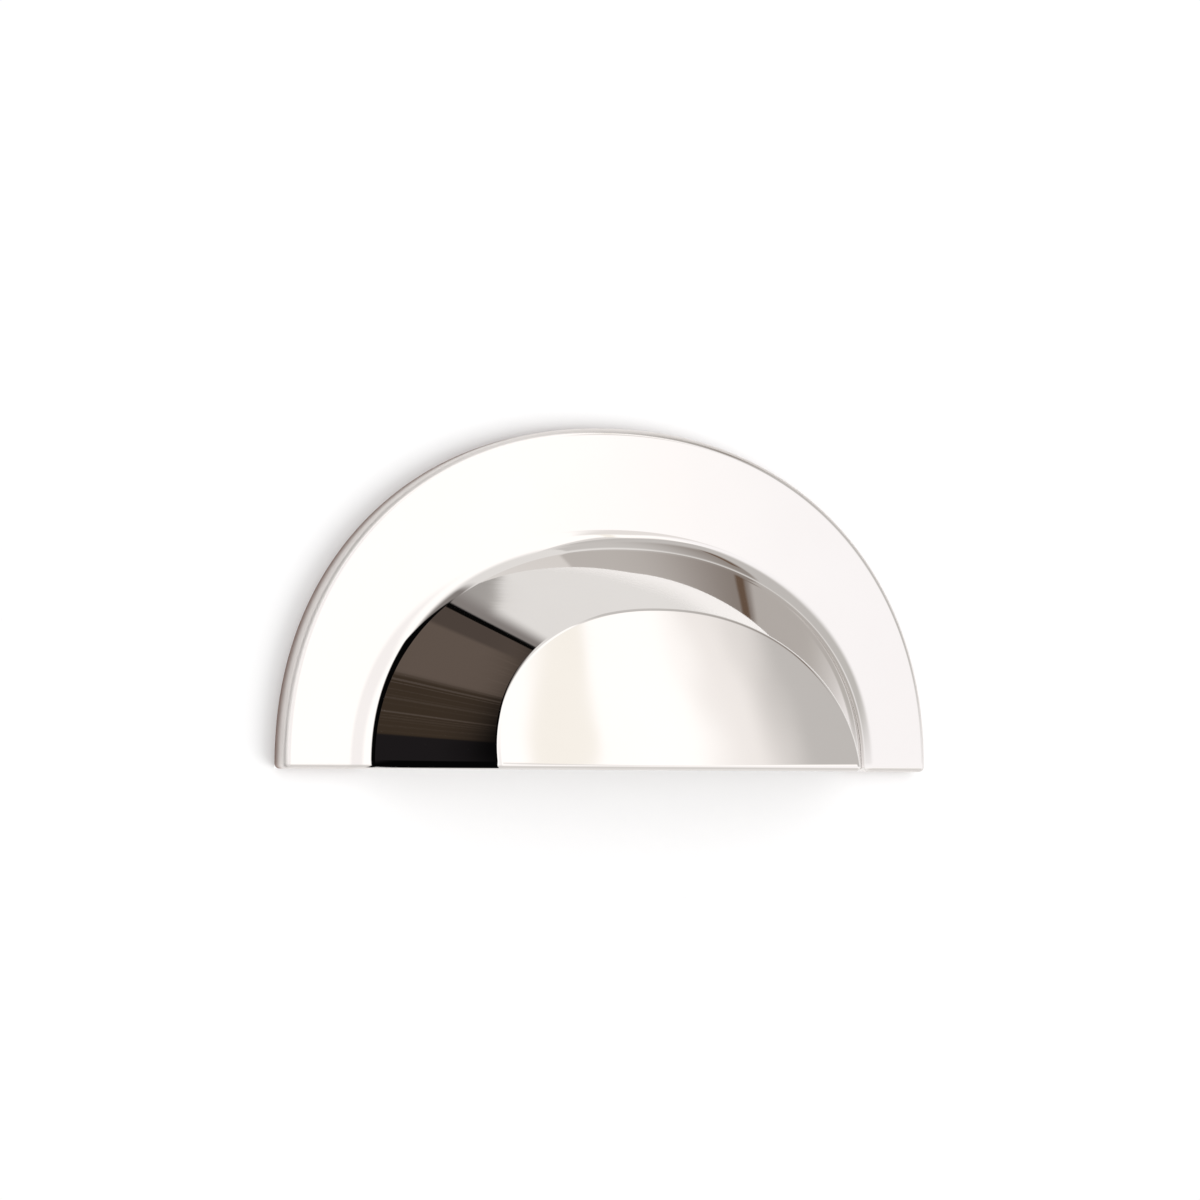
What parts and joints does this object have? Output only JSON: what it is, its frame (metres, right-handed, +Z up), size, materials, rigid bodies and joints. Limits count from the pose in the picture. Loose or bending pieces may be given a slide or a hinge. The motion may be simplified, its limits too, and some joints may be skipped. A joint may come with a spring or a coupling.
{
  "type": "cup pull",
  "caption": "Half-round drawer cup pull: a broad arched plate with a tapered cup whose flat face leans back, open below and behind for the fingers, fixed by screws from behind.",
  "frame": {"origin": "midway between the two screw holes, on the back of the plate", "axes": "+X along the pull, +Y out of the back towards the drawer front, +Z up"},
  "size_m": [0.1, 0.0218, 0.0472],
  "materials": {
    "polished_nickel": "mirror-polished nickel plate"
  },
  "bodies": {
    "root": {"cup_pull": "polished_nickel"}
  },
  "joints": []
}
